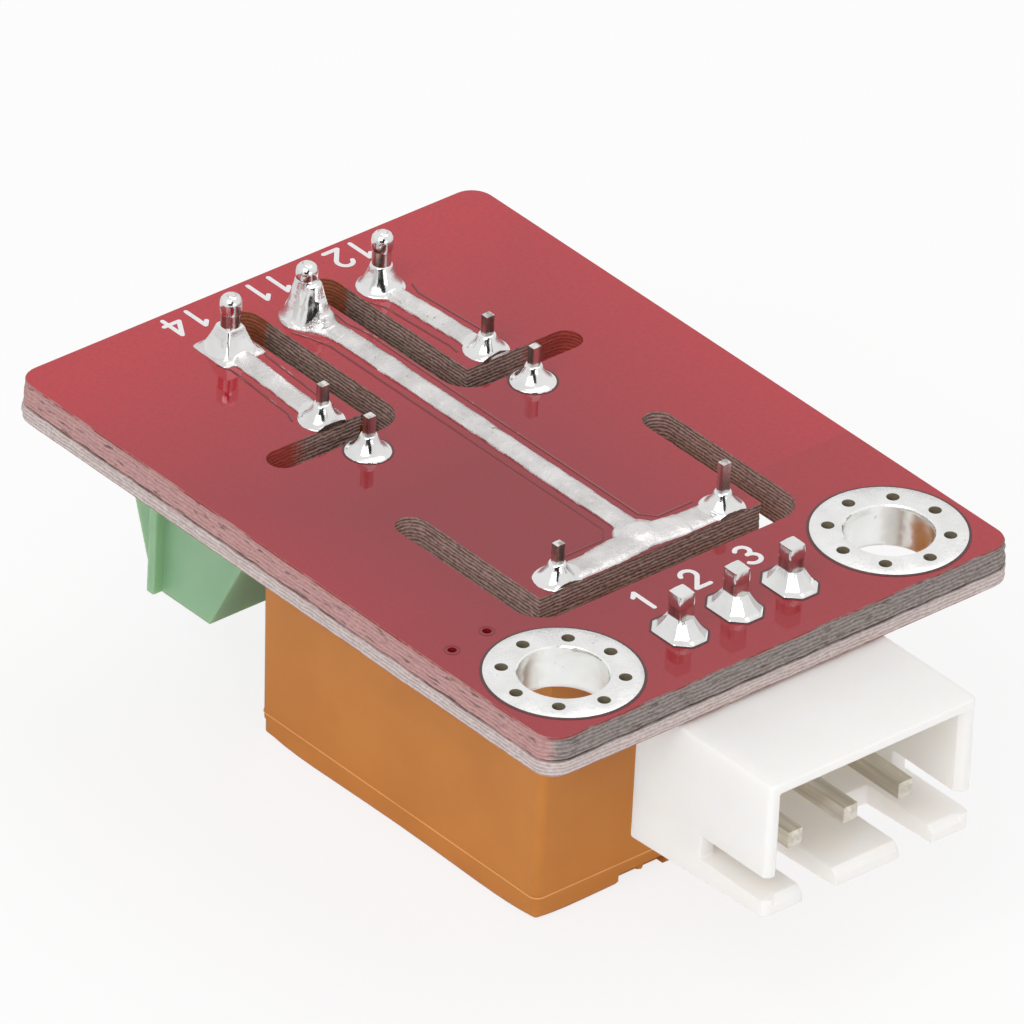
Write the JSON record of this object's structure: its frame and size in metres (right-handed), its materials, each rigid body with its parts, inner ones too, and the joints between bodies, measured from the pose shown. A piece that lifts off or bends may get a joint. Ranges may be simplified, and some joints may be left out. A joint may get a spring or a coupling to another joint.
{
  "type": "relay module",
  "caption": "Relay on a small circuit board with a screw terminal block, a shrouded signal header, milled isolation slots and plated mounting holes, lying solder side up.",
  "frame": {"origin": "centre of the footprint, on the surface that the relay's face rests on", "axes": "+X from the screw terminals to the signal header, +Z out of the board's solder side"},
  "size_m": [0.034, 0.0216, 0.0157],
  "materials": {
    "red_mask": "glossy red mask over fibre laminate",
    "tinned_copper": "tinned copper plating",
    "solder": "bright solder with a grainy skin",
    "tinned_brass": "tin-plated brass",
    "orange_case": "satin orange moulding",
    "black_base": "black moulding",
    "bobbin_plastic": "natural moulding",
    "copper_wire": "enamelled copper wire",
    "soft_iron": "nickel-plated soft iron",
    "spring_bronze": "spring bronze with silver contacts",
    "green_plastic": "satin green moulding",
    "plated_steel": "zinc-plated steel",
    "cage_brass": "nickel-plated brass",
    "white_nylon": "natural white nylon",
    "black_epoxy": "black epoxy moulding with tinned leads",
    "chip_ceramic": "black glazed chip with tinned ends",
    "lamp_resin": "clear lamp resin on a white chip"
  },
  "bodies": {
    "module": {"circuit_board": "red_mask", "mounting_ring_near": "tinned_copper", "mounting_ring_far": "tinned_copper", "solder_track_common": "solder", "solder_track_open": "solder", "solder_track_closed": "solder", "coil_solder_near": "solder", "coil_solder_far": "solder", "header_solder_joints": "solder", "open_contact": "tinned_brass", "closed_contact": "tinned_brass", "common_terminal": "tinned_brass", "coil_pin_near": "tinned_brass", "coil_pin_far": "tinned_brass", "relay_cover": "orange_case", "relay_base": "black_base", "coil_bobbin": "bobbin_plastic", "coil_winding": "copper_wire", "iron_core": "soft_iron", "iron_yoke": "soft_iron", "terminal_housing": "green_plastic", "header_shroud": "white_nylon", "header_pin_signal": "tinned_brass", "header_pin_supply": "tinned_brass", "header_pin_ground": "tinned_brass", "driver_transistor": "black_epoxy", "flyback_diode": "black_epoxy", "base_resistor": "chip_ceramic", "led_resistor": "chip_ceramic", "indicator_led": "lamp_resin", "terminal_contact_1": "tinned_brass", "terminal_contact_2": "tinned_brass", "terminal_contact_3": "tinned_brass"},
    "armature": {"armature": "soft_iron", "contact_spring": "spring_bronze"},
    "clamp_screw_1": {"clamp_screw_1": "plated_steel"},
    "clamp_cage_1": {"clamp_cage_1": "cage_brass"},
    "clamp_screw_2": {"clamp_screw_2": "plated_steel"},
    "clamp_cage_2": {"clamp_cage_2": "cage_brass"},
    "clamp_screw_3": {"clamp_screw_3": "plated_steel"},
    "clamp_cage_3": {"clamp_cage_3": "cage_brass"}
  },
  "joints": [
    {"name": "armature_swing", "type": "hinge", "parent": "module", "child": "armature", "pos_m": [-0.00657, 0, 0.00825], "axis": [0, -1, 0], "range_deg": [0, 3.3], "stiffness_Nm_per_rad": 0.002, "springref_deg": -4.58},
    {"name": "screw_turn_1", "type": "hinge", "parent": "module", "child": "clamp_screw_1", "pos_m": [-0.0137, -0.0035, 0.0045], "axis": [0, 0, 1], "range_deg": [0, 1440]},
    {"name": "cage_lift_1", "type": "slide", "parent": "module", "child": "clamp_cage_1", "axis": [0, 0, -1], "range_m": [0, 0.0016]},
    {"name": "screw_turn_2", "type": "hinge", "parent": "module", "child": "clamp_screw_2", "pos_m": [-0.0137, 0, 0.0045], "axis": [0, 0, 1], "range_deg": [0, 1440]},
    {"name": "cage_lift_2", "type": "slide", "parent": "module", "child": "clamp_cage_2", "axis": [0, 0, -1], "range_m": [0, 0.0016]},
    {"name": "screw_turn_3", "type": "hinge", "parent": "module", "child": "clamp_screw_3", "pos_m": [-0.0137, 0.0035, 0.0045], "axis": [0, 0, 1], "range_deg": [0, 1440]},
    {"name": "cage_lift_3", "type": "slide", "parent": "module", "child": "clamp_cage_3", "axis": [0, 0, -1], "range_m": [0, 0.0016]}
  ],
  "couplings": [
    {"joint": "screw_turn_1", "follows": "cage_lift_1", "rad_per_m": 15708},
    {"joint": "screw_turn_2", "follows": "cage_lift_2", "rad_per_m": 15708},
    {"joint": "screw_turn_3", "follows": "cage_lift_3", "rad_per_m": 15708}
  ]
}
